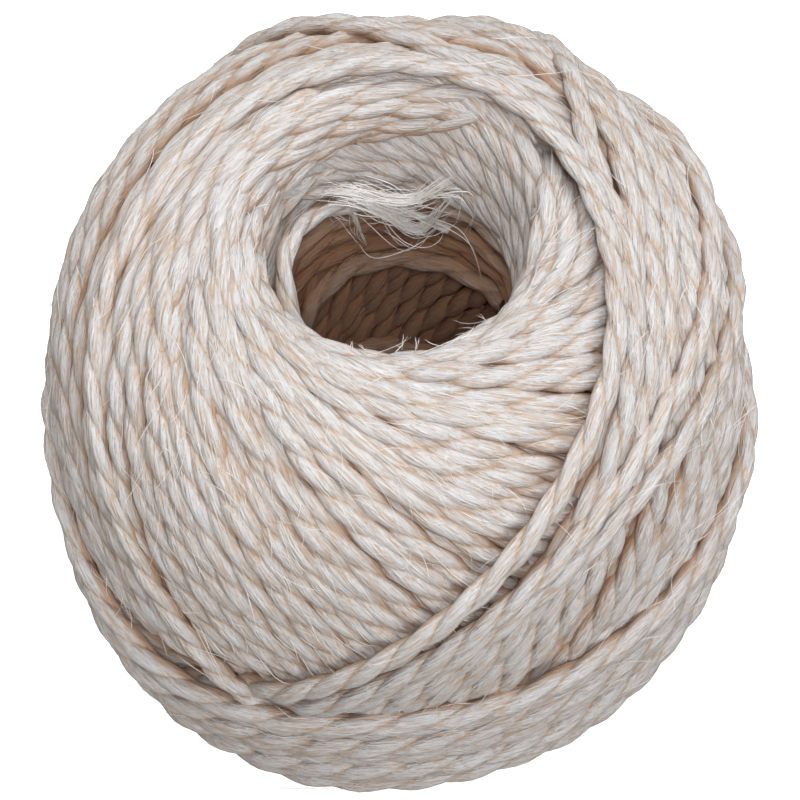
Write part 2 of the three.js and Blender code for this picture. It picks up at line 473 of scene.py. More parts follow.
# %% Height maps
ROW, COLUMN = 0.0004, math.radians(0.75)
ROWS, COLUMNS = int(2 * RUN_END / ROW) + 3, 480
BINS = 9
cross_ceiling = np.full((BINS, ROWS, COLUMNS), 1.0)
side_ceiling = np.full((BINS, ROWS, COLUMNS), 1.0)
surface = np.full((ROWS, COLUMNS), -1.0)
HALF_TWINE = TWINE / 2
CONTACT, ROOM, DUCK, PROUD = 0.00200, 0.00115, 0.0015, 0.0012
DEEPEST, CLIMB = -0.0046, 0.6


def cells(run, azimuth):
    """Row and column of the maps for each station."""
    row = np.clip(np.round((run + RUN_END) / ROW).astype(int), 0, ROWS - 1)
    column = np.round(azimuth / COLUMN).astype(int) % COLUMNS
    return row, column


def level_at(run):
    """Distance of the outline from the axis."""
    return np.interp(abs(run), half_run, half_level)


def footprint(run, azimuth, radius):
    """Cells round every station that lie within the radius, with their distances."""
    level = level_at(run)
    deep = int(radius / ROW) + 1
    far = int(radius / (level.min() * COLUMN)) + 1
    dr, dc = np.meshgrid(np.arange(-deep, deep + 1), np.arange(-far, far + 1), indexing="ij")
    row, column = cells(run, azimuth)
    rows = row[:, None] + dr.ravel()
    columns = (column[:, None] + dc.ravel()) % COLUMNS
    distance = np.hypot(dr.ravel() * ROW, dc.ravel() * COLUMN * level[:, None])
    keep = (distance < radius) & (rows >= 0) & (rows < ROWS)
    station = np.broadcast_to(np.arange(len(run))[:, None], keep.shape)[keep]
    return station, rows[keep], columns[keep], distance[keep]


def headings(run, azimuth):
    """The bin of each station's heading. A strand has no front, so half a turn holds them all."""
    dr = np.roll(run, -1) - np.roll(run, 1)
    da = (np.roll(azimuth, -1) - np.roll(azimuth, 1) + math.pi) % (2 * math.pi) - math.pi
    angle = np.degrees(np.arctan2(dr, da * level_at(run))) % 180
    return (angle / (180 / BINS)).astype(int) % BINS


def ceiling_at(run, azimuth, heading):
    """The lowest ceiling over each station: full thickness, unless the headings almost agree."""
    row, column = cells(run, azimuth)
    best = np.full(len(run), 1.0)
    for b in range(BINS):
        apart = np.minimum((heading - b) % BINS, (b - heading) % BINS)
        best = np.minimum(best, np.where(
            apart <= 1, side_ceiling[b, row, column], cross_ceiling[b, row, column]))
    return best


def taut(height, rounds=2):
    """Lowers a closed line of heights until it nowhere climbs faster than a taut strand can."""
    count = len(height)
    long = np.tile(height, 3)
    ramp = np.arange(len(long)) * (CLIMB * STEP)
    long = np.minimum.accumulate(long - ramp) + ramp
    long = np.minimum.accumulate(long[::-1] - ramp)[::-1] + ramp[::-1]
    height = long[count:2 * count]
    kernel = np.exp(-0.5 * (np.arange(-4, 5) / 1.6) ** 2)
    kernel /= kernel.sum()
    for _ in range(rounds):
        height = np.convolve(np.tile(height, 3), kernel, "same")[count:2 * count]
    return height


def wandering(count, spots, spread):
    """A value that drifts along a closed turn and comes back to where it started."""
    values = rng.normal(0, spread, spots)
    return np.interp(np.arange(count), np.linspace(0, count, spots + 1), np.append(values, values[0]))


print("the height maps have", ROWS, "rows and", COLUMNS, "columns")

# %% [markdown]
# ## Laying the turns
#
# A turn wishes for its own height over the outline. The shoulder turns sink into the others below
# the waist and on the far side, and the waist band nestles down at the back, where less lies under
# it. The ceilings then push the turn down where later turns cross it.

# %% Lay the turns, the last one first
BELOW_WAIST = (-0.014, -0.002)
OWN_CROSSINGS = 0.036
ASIDES = (-0.0012, -0.0007, 0, 0.0007, 0.0012)
# How far below the surface a strand may lie and still show, by its distance from the axis.
VIEW_LEVELS, VIEW_DEPTHS = (0.0205, 0.0235, 0.0250), (0.0050, 0.0030, 0.0007)


def lay(turn):
    """Puts a turn under the later ones. Gives its stations, their heights and which of them show."""
    run, azimuth = turn_path(turn)
    heading = headings(run, azimuth)
    count = len(run)
    wish = np.full(count, turn["level"])
    if turn["kind"] == "shoulder":
        wish = np.interp(run, BELOW_WAIST, (0, turn["level"]))
        wish *= np.interp(np.degrees(azimuth) % 360, (0, 80, 140, 230, 265, 360),
                          (1, 1, 0.4, 0.4, 1, 1))
    if turn["kind"] == "waist":
        wish *= np.interp(np.degrees(azimuth) % 360, (0, 60, 110, 195, 230, 360),
                          (0.8, 0.4, 0.3, 0.3, 1, 0.8))
    wish = wish + wandering(count, 23, 0.00012)
    height = np.maximum(np.minimum(wish, ceiling_at(run, azimuth, heading)), DEEPEST)
    height = taut(height)
    if turn["rounds"] == 2:
        # The falling half lies on the rising half of the same turn where they cross.
        shallow = abs(run) < OWN_CROSSINGS
        order = np.argmax(run)
        falling = ((np.arange(count) - order) % count) < ((np.argmin(run) - order) % count)
        part = falling & shallow
        station, rows, columns, distance = footprint(run[part], azimuth[part], CONTACT)
        own = height[part][station] - np.sqrt(CONTACT ** 2 - distance ** 2)
        np.minimum.at(cross_ceiling, (heading[part][station], rows, columns), own)
        height = np.minimum(height, np.where(falling, 1, np.maximum(
            ceiling_at(run, azimuth, heading), DEEPEST)))
        height = taut(height, 1)
    # What of this turn shows past the later ones. In the mouth the view is deeper.
    level = level_at(run)
    heading_vector = np.stack([np.gradient(run), np.gradient(azimuth) * level], 1)
    heading_vector /= np.linalg.norm(heading_vector, axis=1, keepdims=True) + 1e-12
    margin = np.interp(level, VIEW_LEVELS, VIEW_DEPTHS)
    shows = np.zeros(count, bool)
    for aside in ASIDES:
        row, column = cells(run + heading_vector[:, 1] * aside,
                            azimuth - heading_vector[:, 0] * aside / level)
        mine = height + math.sqrt(HALF_TWINE ** 2 - aside ** 2)
        shows |= mine > surface[row, column] - margin
    # Leave this turn's own marks for the earlier ones.
    station, rows, columns, distance = footprint(run, azimuth, CONTACT)
    under = height[station] - np.sqrt(CONTACT ** 2 - distance ** 2)
    np.minimum.at(cross_ceiling, (heading[station], rows, columns), under)
    proud = (height > turn["level"] - PROUD)[station] & (distance < ROOM)
    np.minimum.at(side_ceiling, (heading[station][proud], rows[proud], columns[proud]),
                  height[station][proud] - DUCK)
    near = distance < HALF_TWINE
    np.maximum.at(surface, (rows[near], columns[near]),
                  height[station][near] + np.sqrt(HALF_TWINE ** 2 - distance[near] ** 2))
    return run, azimuth, height, shows


laid = [lay(turn) for turn in reversed(turns)][::-1]
shown = sum(int(shows.sum()) for _, _, _, shows in laid)
print("of", sum(len(r) for r, *_ in laid), "stations", shown, "show")

# %% [markdown]
# ## Build the turns
#
# A hidden stretch costs triangles and shows nothing, so only the stretches that show are built, with
# a little more at both ends to tuck them under their neighbours. The twist wanders along the
# twine and its girth swells and thins, as hand-fed sisal does. Over a whole turn the twist comes
# to full rounds, so that the turn closes without a step.
#
# Nest shade says how deep a corner lies between strands, and so how much painted shade it gets:
# nought on top of a strand, one in the gap.

# %% Stretches of the turns
TUCK, SHORTEST = 6, 7
NEST_START, NEST_SPAN = 0.0013, 0.0034
STREAK_SHIFT = 0.61


def stretches_of(turn, run, azimuth, height, shows, number):
    """The stretches of one turn that show, with their painted nest shade and their tone."""
    count = len(run)
    wide = shows.copy()
    for shift in range(1, TUCK + 1):
        wide |= np.roll(shows, shift) | np.roll(shows, -shift)
    if not wide.any():
        return []
    line = on_ball(run, azimuth, height)
    for _ in range(2):
        line = (np.roll(line, 1, 0) + 2 * line + np.roll(line, -1, 0)) / 4
    outward = pressing(run, azimuth)
    spots = max(6, count // 22)
    twist = -2 * math.pi * np.cumsum(1 + wandering(count, spots, 0.14)) * STEP / PITCH
    twist *= round(twist[-1] / (2 * math.pi)) * 2 * math.pi / twist[-1]
    girth = turn["girth"] + wandering(count, spots, 0.04)
    tone = 0.5 + wandering(count, 9, 0.20)
    rings, unwound = strand(line, outward, twist, girth, closed=True)
    rings[..., 2] = np.clip(rings[..., 2], 0.0, None)
    # Painted shade: a sunken strand is painted darker and a proud one paler, but not so near the
    # mouth.
    sunk_shade = np.clip(-height, 0, 0.0006) * np.interp(level_at(run), (0.019, 0.026), (0, 1))
    sunk_shade -= 0.2 * np.clip(height, 0, 0.0020)
    nest = np.clip((NEST_START + sunk_shade[:, None] - unwound[..., 0]) / NEST_SPAN, 0, 1)
    # Start the count where the twine is hidden, so that no stretch is cut in two, and count on past
    # the end of the lap, so that the streaks don't jump there.
    start = int(np.argmin(wide))
    order = (np.arange(count + 1) + start) % count
    lap = (np.arange(count + 1) + start) // count * (unwound[-1, 0, 2] + STEP)
    flags = wide[order]
    made, begin = [], None
    for i, flag in enumerate(np.append(flags, False)):
        if flag and begin is None:
            begin = i
        if not flag and begin is not None:
            keep = order[begin:i]
            if len(keep) >= SHORTEST:
                shift = number * STREAK_SHIFT + lap[begin:i, None, None]
                made.append(stretch(rings[keep], unwound[keep], nest[keep], tone[keep], shift))
            begin = None
    return made


print("a stretch is tucked under by", round(TUCK * STEP * 1000, 1), "mm at both ends")

# %% Pieces of the turns
RAISED_UNDERSIDE, LAY_UNDERSIDE, WALL_UNDERSIDE = -0.0009, -0.0003, -0.0004
MOST_RINGS = 7800
groups = {"waist_turns": [], "shoulder_turns": [], "lay_turns": []}
for number, (turn, (run, azimuth, height, shows)) in enumerate(zip(turns, laid)):
    groups[turn["kind"] + "_turns"] += stretches_of(turn, run, azimuth, height, shows, number)

twine_pieces = [
    strand_mesh(name, groups[name], RAISED_UNDERSIDE) for name in ("waist_turns", "shoulder_turns")]
# The lay turns are too many for one piece, so they are dealt out in their order.
batch, batches, size = [], [], 0
for item in groups["lay_turns"]:
    if size + len(item["rings"]) > MOST_RINGS:
        batches.append(batch)
        batch, size = [], 0
    batch.append(item)
    size += len(item["rings"])
batches.append(batch)
for i, batch in enumerate(batches):
    twine_pieces.append(strand_mesh(f"lay_turns_{i + 1}", batch, LAY_UNDERSIDE))

# %% [markdown]
# ## The wall of the bore
#
# When the spindle is drawn out, the bore shows the inner side of every turn that once passed it:
# near the mouths almost level arcs stacked on each other, and in the middle the first slanting
# turns. Only these inner sides show, so they are built as short arcs of their own. Both ends of
# an arc bend away behind its neighbours. The deeper an arc lies, the more painted shade it gets, in
# tan and brown.

# %% One arc of the wall
WALL_LEVEL = 0.0141
BORE_TOP = 0.034
ARC_BEND = 0.0034
FULL_TURN = 6.28


def depth_in_bore(up, reach):
    """Nought near a mouth, one once the depth is greater than the reach."""
    return np.clip((BORE_TOP - abs(up)) / reach, 0, 1)


def arc(azimuth, span, start_up, end_up, level, bow):
    """An arc on the wall. It bulges up by bow, and its ends bend outwards out of sight."""
    count = max(12, int(math.hypot(level * span, end_up - start_up) / STEP))
    t = np.linspace(-1, 1, count)
    angle = azimuth + span / 2 * t
    up = (start_up + end_up) / 2 + (end_up - start_up) / 2 * t + bow * (1 - t ** 2)
    out = level + ARC_BEND * np.clip((abs(t) - 0.62) / 0.38, 0, 1) ** 2
    line = np.stack([out * np.cos(angle), out * np.sin(angle), MIDDLE + up], -1)
    inwards = -line * [1, 1, 0]
    rate = 1 + rng.normal(0, 0.08)
    twist = -2 * math.pi * rate * np.arange(count) * STEP / PITCH + rng.uniform(0, FULL_TURN)
    girth = np.full(count, 1 + rng.normal(0, 0.03))
    rings, unwound = strand(line, inwards, twist, girth)
    # Painted shade: deeper down the bore, and on the side against the wall, the arc is painted tan and
    # brown.
    depth = depth_in_bore(rings[..., 2] - MIDDLE, 0.018)
    nest = np.clip(0.12 + 0.62 * depth - unwound[..., 0] * 110, 0, 1)
    tone = np.full(count, 0.45 + rng.normal(0, 0.15))
    return stretch(rings, unwound, nest, tone, rng.uniform(60, 90))


print("the wall's strands lie", round(WALL_LEVEL * 1000, 1), "mm from the axis")

# %% Arcs stacked towards the mouths, and slanting turns between them
FIRST_RISE, LAST_RISE, RISE = 0.0122, 0.0352, 0.00175
SLIPPING_FROM = 0.0260
SLANTING, SLANT_REACH = 34, 0.0150
wall = []
for end in (1, -1):
    rise = FIRST_RISE
    layer = 0
    turned = rng.uniform(0, FULL_TURN)
    while rise < LAST_RISE:
        # High up, only the left has arcs. Elsewhere strands slip into the mouth.
        upper = end == 1 and rise > SLIPPING_FROM
        arcs = 1 if upper else 3
        level = WALL_LEVEL + (0.0 if layer % 2 == 0 else 0.0011) + rng.uniform(-0.0002, 0.0003)
        for i in range(arcs):
            lean = rng.uniform(0.0012, 0.0034)
            span = 2 * math.pi / 3 * rng.uniform(1.25, 1.4)
            azimuth = turned + 2 * math.pi * i / arcs + rng.uniform(-0.15, 0.15)
            if upper:
                azimuth = math.radians(184) + rng.uniform(-0.15, 0.15)
            up = rise + rng.uniform(-0.0004, 0.0004)
            wall.append(arc(azimuth, span, end * (up + lean / 2), end * (up - lean / 2), level,
                            end * rng.uniform(0, 0.0008)))
        rise += RISE
        turned += 1.05 + rng.uniform(-0.2, 0.2)
        layer += 1
for i in range(SLANTING):
    azimuth = 2 * math.pi * i / SLANTING + rng.uniform(-0.04, 0.04)
    wall.append(arc(azimuth, math.radians(70) + rng.uniform(-0.05, 0.05), SLANT_REACH, -SLANT_REACH,
                    WALL_LEVEL + rng.uniform(0.0003, 0.0007), 0))
print(len(wall), "arcs line the bore")

# %% [markdown]
# ## Two bold loops in the bore
#
# Where the slanting turns end, two strands stand out from the wall: one climbs out of the depth on
# the left and arches along the far side, and one runs level along the near side. The lower half
# gets the same two upside down.

# %% Loops on the wall
def wall_strand(route, level, number):
    """A strand that follows a route along the wall: azimuths in degrees and heights."""
    points = [on_wall(azimuth, level, up) for azimuth, up in route]
    line, length = smooth_line(points, int(sum(np.hypot(
        level * math.radians(b[0] - a[0]), b[1] - a[1]) for a, b in zip(route, route[1:])) / STEP))
    twist = -2 * math.pi * np.linspace(0, length, len(line)) / PITCH + number
    rings, unwound = strand(line, -line * [1, 1, 0], twist, np.full(len(line), 1.05))
    # Painted shade: deeper down the bore, and on the side against the wall, the strand is painted tan
    # and brown.
    depth = depth_in_bore(rings[..., 2] - MIDDLE, 0.018)
    nest = np.clip(0.12 + 0.44 * depth - unwound[..., 0] * 120, 0, 1)
    return stretch(rings, unwound, nest, np.full(len(line), 0.6), 50 + number)


for end, number in ((1, 1), (-1, 2)):
    wall.append(wall_strand(
        [(168, end * -0.006), (152, end * -0.001), (138, end * 0.0052), (120, end * 0.0086),
         (104, end * 0.0098), (84, end * 0.0104), (60, end * 0.0112), (38, end * 0.0124),
         (20, end * 0.0146)], 0.0133, number))
    wall.append(wall_strand(
        [(345, end * 0.0125), (315, end * 0.0115), (270, end * 0.0105), (225, end * 0.0115),
         (190, end * 0.0125)], 0.0136, number + 2))
twine_pieces.append(strand_mesh("bore_turns", wall, WALL_UNDERSIDE))

# %% [markdown]
# ## Strands that slip into the mouth
#
# Round most of the upper mouth, turns were drawn in when the spindle came out. They lie side by side
# and slant down the mouth clockwise, until they join the wall. At the back they come over the
# rim. On the right and in front, where the turns outside cover the rim, they start below it.
# The near left has none, because the stacked arcs go on up there.

# %% Slipping strands
SLIPPING, SLIPPING_APART = 27, 11.5
slipping_route = [
    # degrees from the start, distance from the axis, height over the middle
    (0, 0.0184, 0.0384), (12, 0.0172, 0.0392), (28, 0.0158, 0.0370), (46, 0.0146, 0.0325),
    (64, 0.0139, 0.0285), (84, 0.0138, 0.0255), (100, 0.0156, 0.0240)]


def slipping(first, number):
    """A strand that starts at an azimuth over the rim and slants down the mouth."""
    skipped = 0 if first > 50 else 2
    points = [on_wall(first - turned, level, up + rng.uniform(-0.0003, 0.0003))
              for turned, level, up in slipping_route[skipped:]]
    line, length = smooth_line(points, 44)
    inwards = -line * [1, 1, 0] + [0, 0, 0.006]
    twist = -2 * math.pi * np.linspace(0, length, len(line)) / PITCH + rng.uniform(0, FULL_TURN)
    rings, unwound = strand(line, inwards, twist, np.full(len(line), 1.0))
    # Painted shade: deeper down the mouth, and on the side against the wall, the strand is painted tan
    # and brown.
    depth = depth_in_bore(line[:, 2:] - MIDDLE, 0.022)
    nest = np.clip(-0.08 + 0.62 * depth - unwound[..., 0] * 190, 0, 1)
    return stretch(rings, unwound, nest, np.full(len(line), 0.55 + rng.normal(0, 0.12)), 95 + number)


slipped = [slipping(189.5 - SLIPPING_APART * i + rng.uniform(-1, 1), i) for i in range(SLIPPING)]
twine_pieces.append(strand_mesh("mouth_turns", slipped, WALL_UNDERSIDE))

# %% [markdown]
# ## The body under the turns
#
# Between two strands the eye meets deeper turns, in shade. A dark body a strand and a half below
# the outline closes every gap; its brown is painted shade. It follows the same outline outside,
# and inside it stands just behind the strands of the bore. It stands for the packed ball and hides
# that plain solid.

# %% Body under the turns
UNDER = 1.5 * TWINE
BODY_BORE = 0.0158
MOUTH_GAP = 0.004
AROUND, OUTSIDE_ROWS, INSIDE_ROWS = 120, 90, 20
section = []
for run in np.linspace(-RUN_END + MOUTH_GAP, RUN_END - MOUTH_GAP, OUTSIDE_ROWS):
    size, sign = abs(run), np.sign(run)
    level = np.interp(size, half_run, half_level) - UNDER * np.interp(size, half_run, press_level)
    up = np.interp(size, half_run, half_height) - UNDER * np.interp(size, half_run, press_height)
    section.append((max(level, BODY_BORE), sign * up))
top_up = section[-1][1]
section += [(BODY_BORE, top_up * (1 - 2 * i / INSIDE_ROWS)) for i in range(1, INSIDE_ROWS)]
section = np.array(section)
angles = np.arange(AROUND) / AROUND * 2 * math.pi
body_points = np.stack([
    section[:, :1] * np.cos(angles), section[:, :1] * np.sin(angles),
    np.repeat(section[:, 1:] + MIDDLE, AROUND, 1)], -1)
i, k = np.meshgrid(np.arange(len(section)), np.arange(AROUND), indexing="ij")
after, beside = (i + 1) % len(section), (k + 1) % AROUND
quad = np.stack([i * AROUND + k, i * AROUND + beside, after * AROUND + beside, after * AROUND + k], -1)
body_mesh = bpy.data.meshes.new("body_under_turns")
body_mesh.from_pydata(body_points.reshape(-1, 3).tolist(), [], quad.reshape(-1, 4).tolist())
body_mesh.polygons.foreach_set("use_smooth", np.ones(len(body_mesh.polygons), bool))
body = bpy.data.objects.new("body_under_turns", body_mesh)
bpy.context.scene.collection.objects.link(body)
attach(body, "root")
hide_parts("ball")
print("body has", 2 * len(body_mesh.polygons), "triangles")

# %% [markdown]
# ## Loose fibres
#
# Sisal is stiff and sheds short fibres. They lie almost along the twine and lift off it in a
# shallow curve. Each is a hair of three sides, a twentieth of a millimetre thick, that starts on a
# strand that shows. There are far more short ones than long ones.

# %% One hair, and a mesh of hairs
def hair(points, radius):
    """Corners of a three-sided hair that tapers to both ends."""
    ahead = along(points)
    reference = np.where(abs(ahead[:, 2:]) < 0.9, [[0, 0, 1.0]], [[1.0, 0, 0]])
    one = unit(np.cross(ahead, reference))
    two = np.cross(ahead, one)
    taper = radius * np.clip(np.sin(np.linspace(0.25, math.pi - 0.1, len(points))) * 1.6, 0.25, 1)
    rings = []
    for k in range(3):
        a = 2 * math.pi * k / 3
        rings.append(points + taper[:, None] * (math.cos(a) * one + math.sin(a) * two))
    return np.stack(rings, 1)


def hair_mesh(name, hairs):
    """One piece from a list of hairs."""
    vertices = np.concatenate([h.reshape(-1, 3) for h in hairs])
    quads, base = [], 0
    for h in hairs:
        n = len(h)
        a = base + np.arange(n - 1)[:, None] * 3 + np.arange(3)
        b = base + np.arange(n - 1)[:, None] * 3 + (np.arange(3) + 1) % 3
        quads.append(np.stack([a, b, b + 3, a + 3], -1).reshape(-1, 4))
        base += n * 3
    mesh = bpy.data.meshes.new(name)
    mesh.from_pydata(vertices.tolist(), [], np.concatenate(quads).tolist())
    mesh.polygons.foreach_set("use_smooth", np.ones(len(mesh.polygons), bool))
    piece = bpy.data.objects.new(name, mesh)
    bpy.context.scene.collection.objects.link(piece)
    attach(piece, "root")
    print(name, "has", len(hairs), "fibres and", 2 * len(mesh.polygons), "triangles")
    return piece


def bezier(a, b, c, d, count):
    """Points of the curve from a to d that leaves towards b and comes in from c."""
    t = np.linspace(0, 1, count)[:, None]
    return (1 - t) ** 3 * a + 3 * (1 - t) ** 2 * t * b + 3 * (1 - t) * t ** 2 * c + t ** 3 * d


sample = hair(np.linspace([0, 0, 0], [0.004, 0, 0], 6), 0.00003)
print("a short hair has", len(sample), "rings of", sample.shape[1], "corners")

# %% Stray fibres
STRAY_TRIED = 2300
DEEPEST_WITH_FIBRES = -0.0015
stray = []
weights = np.array([shows.sum() for _, _, _, shows in laid], float)
weights /= weights.sum()
for _ in range(STRAY_TRIED):
    run, azimuth, height, shows = laid[rng.choice(len(laid), p=weights)]
    spots = np.flatnonzero(shows & (height > DEEPEST_WITH_FIBRES))
    if len(spots) == 0:
        continue
    at = int(rng.choice(spots))
    count = len(run)
    here = np.arange(at - 1, at + 2) % count
    line = on_ball(run[here], azimuth[here], height[here])
    ahead = unit(line[2] - line[0]) * rng.choice([-1, 1])
    lift = unit(pressing(run[here][1:2], azimuth[here][1:2])[0])
    side = np.cross(ahead, lift)
    reach = rng.gamma(2.5, 0.0012) + 0.001
    root = line[1] + lift * 0.0012 + side * rng.uniform(-0.0009, 0.0009)
    rise = abs(rng.normal(0, 0.22)) + 0.05
    swing = rng.normal(0, 0.38)
    tip = root + reach * unit(ahead + lift * rise + side * swing)
    bend = unit(ahead + side * swing * 0.2 + lift * 0.1)
    settle = unit(ahead * 0.6 + side * swing * 1.6 + lift * rng.normal(0, 0.25))
    points = bezier(root, root + bend * reach * 0.35, tip - settle * reach * 0.35, tip, 6)
    points[:, 2] = np.maximum(points[:, 2], 0.0002)
    stray.append(hair(points, rng.uniform(0.000020, 0.000042)))
stray_piece = hair_mesh("stray_fibres", stray)

# %% [markdown]
# ## The frayed tip
#
# The plies of the loose end have opened. Two locks of fibres leave it: the lower one dips over the
# bore and rises again, and the upper one runs across. A thin web joins them, a short tail
# hangs on the left, and a few single fibres loop down. Some of the near rim's fibres stand up too.
# Each sheaf is a list of places in millimetres, from the axis and from the middle of the ball. The
# number of its fibres follows, how far they stray at the first place and at the last, half their
# thickness and how much each one wanders, all in metres.

# %% One sheaf of fibres
BORE_CLEAR = 0.0118
fray = []


def sheaf(places, fibres, near, far, radius, wave):
    """Fibres that run together through the places."""
    guide, length = smooth_line(np.array(places) * 0.001 + [0, 0, MIDDLE], 22)
    for _ in range(fibres):
        share = np.linspace(0, 1, len(guide))[:, None]
        one, two = rng.normal(0, 1, (2, 3))
        aside = near * one * (1 - share) + far * two * share ** 1.3
        ripple = sum(rng.normal(0, wave, 3) / n
                     * np.sin(share * n * math.pi + rng.uniform(0, FULL_TURN)) for n in (1, 2, 3))
        begin = rng.integers(0, 7)
        end = len(guide) - rng.integers(0, 9)
        line = (guide + aside + ripple)[begin:end]
        # A fibre that is down in the bore stays clear of its wall.
        level = np.linalg.norm(line[:, :2], axis=1)
        inside = np.minimum(1, BORE_CLEAR / np.maximum(level, 1e-6))
        low = line[:, 2] < MIDDLE + BORE_TOP
        line[low, :2] *= inside[low, None]
        fray.append(hair(line, rng.uniform(0.7, 1.3) * radius))


print("fibres in the bore stay within", round(BORE_CLEAR * 1000, 1), "mm of the axis")

# %% Frayed fibres of the loose end
# The lower lock, which is thick where it starts.
sheaf([(-7.8, 9.6, 30.4), (-5.2, 9.4, 30), (-3.8, 9.4, 29.3), (-1.7, 9.4, 27.4), (0.2, 9.4, 25),
       (1.5, 9.4, 23.2), (2.8, 9.4, 22.8), (4.2, 9.4, 25), (5.5, 9.4, 28), (7.1, 9.2, 31)],
      50, 0.0004, 0.0004, 0.000045, 0.0003)
sheaf([(-5.8, 9.6, 30.8), (-3.8, 9.4, 29.8), (-1.8, 9.4, 27.2), (0.2, 9.4, 25.2), (2.2, 9.4, 24.6)],
      70, 0.0005, 0.0003, 0.000045, 0.0003)
# The upper lock, the web and the tail.
sheaf([(-6, 9.6, 31), (-3.8, 9.4, 30.7), (-2, 9.4, 29.6), (0.2, 9.4, 28.7), (2.3, 9.4, 29),
       (4.2, 9.4, 31.2), (6.5, 9.4, 34)], 45, 0.0004, 0.0004, 0.000045, 0.0003)
sheaf([(-5, 9.8, 30.4), (-2.5, 10, 28.8), (0.5, 10.2, 27), (3, 10.2, 27), (6, 10, 29.6)],
      26, 0.0008, 0.0010, 0.00004, 0.0010)
sheaf([(-4.8, 9.4, 29), (-4.4, 9.2, 27), (-3.6, 9, 22.8), (-2.9, 9, 20.4)],
      12, 0.0003, 0.0001, 0.00004, 0.0003)
# Loops on the left, on the right and under the dip, and two long fibres.
sheaf([(-5.2, 9.4, 29.8), (-6.3, 9.2, 28.3), (-6.1, 9, 26.2), (-5.4, 9, 24.4), (-3.9, 9, 23.7),
       (-2.5, 9, 23.4)], 4, 0.0004, 0.0004, 0.00004, 0.0008)
sheaf([(3.5, 9.2, 30), (6.6, 8.8, 31.6), (8.1, 8.6, 31.1), (8.4, 8.4, 27), (7.3, 8.4, 22.6)],
      4, 0.0005, 0.0005, 0.00004, 0.0008)
sheaf([(-4, 9.2, 28), (-1.5, 9, 24.5), (1, 9, 22), (3.5, 9, 21.8), (5.5, 9, 24.2), (6.5, 9.2, 27)],
      9, 0.0005, 0.0009, 0.00004, 0.0012)
sheaf([(1.5, 9.3, 25.4), (3.4, 9.2, 25), (5, 9, 24.3), (7.1, 8.4, 22.6), (8.7, 7.5, 19.8),
       (9.9, 6.5, 16.1), (9.7, 5.5, 11)], 2, 0.0002, 0.0003, 0.00005, 0.0004)
# Sprays on the near side of the mouth, to the right.
sheaf([(11.5, -6, 27.3), (9.9, -7, 29.9), (7.8, -8, 32.2), (5.9, -9, 33.4), (4.9, -9.5, 33.4)],
      3, 0.0003, 0.0004, 0.00005, 0.0003)
sheaf([(11.4, -4.6, 26.5), (10, -5, 28), (8.7, -4.5, 29)], 5, 0.0004, 0.0004, 0.00005, 0.0003)
# Short hairs that stand up from the near rim, each with its foot and its height.
for x, y, up, tall in ((-6, -13.6, 38.1, 1), (-4.7, -13.8, 38.4, 1.4), (-4.2, -14, 38.4, 1.7),
                       (-3, -14, 38.4, 1), (0.5, -14.3, 39.3, 1.2), (0.9, -14.3, 39.3, 3.4),
                       (2.3, -14.2, 39.2, 2.8)):
    sheaf([(x, y, up), (x + 0.1, y + 0.2, up + tall / 2),
           (x + rng.uniform(-0.4, 0.6), y + 0.6, up + tall)], 2, 0.0001, 0.0003, 0.00004, 0.0001)
fray_piece = hair_mesh("frayed_fibres", fray)
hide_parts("loose_end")

# %% [markdown]
# ## Shader maths
#
# A material's nodes are easier to read as sums. The first class wraps one socket of a node, and
# each operator adds a Math node, so `1 - mask` is a node too. A Math node turns a colour grey, so
# colours go through Mix nodes. The second class is a finish: a material that adds its nodes.

# %% A value in a material
class Value:
    """One output of a node. Sums with it add Math nodes to its material."""

    def __init__(self, material, socket):
        self.material, self.socket = material, socket

    def math(self, operation, one, other, clamp=False):
        return self.material.node(
            "ShaderNodeMath", {"operation": operation, "use_clamp": clamp}, {0: one, 1: other})[0]

    def __add__(self, other):
        return self.math("ADD", self, other)

    def __sub__(self, other):
        return self.math("SUBTRACT", self, other)

    def __rsub__(self, other):
        return self.math("SUBTRACT", other, self)

    def __mul__(self, other):
        return self.math("MULTIPLY", self, other)

    def __pow__(self, other):
        return self.math("POWER", self, other)

    __radd__, __rmul__ = __add__, __mul__

    def between(self, start, end):
        """Nought at the start, one at the end and straight in between, even where end is lower."""
        return self.math("MULTIPLY", self - start, 1 / (end - start), clamp=True)


print("a value knows", ", ".join(word for word in vars(Value) if callable(vars(Value)[word])))

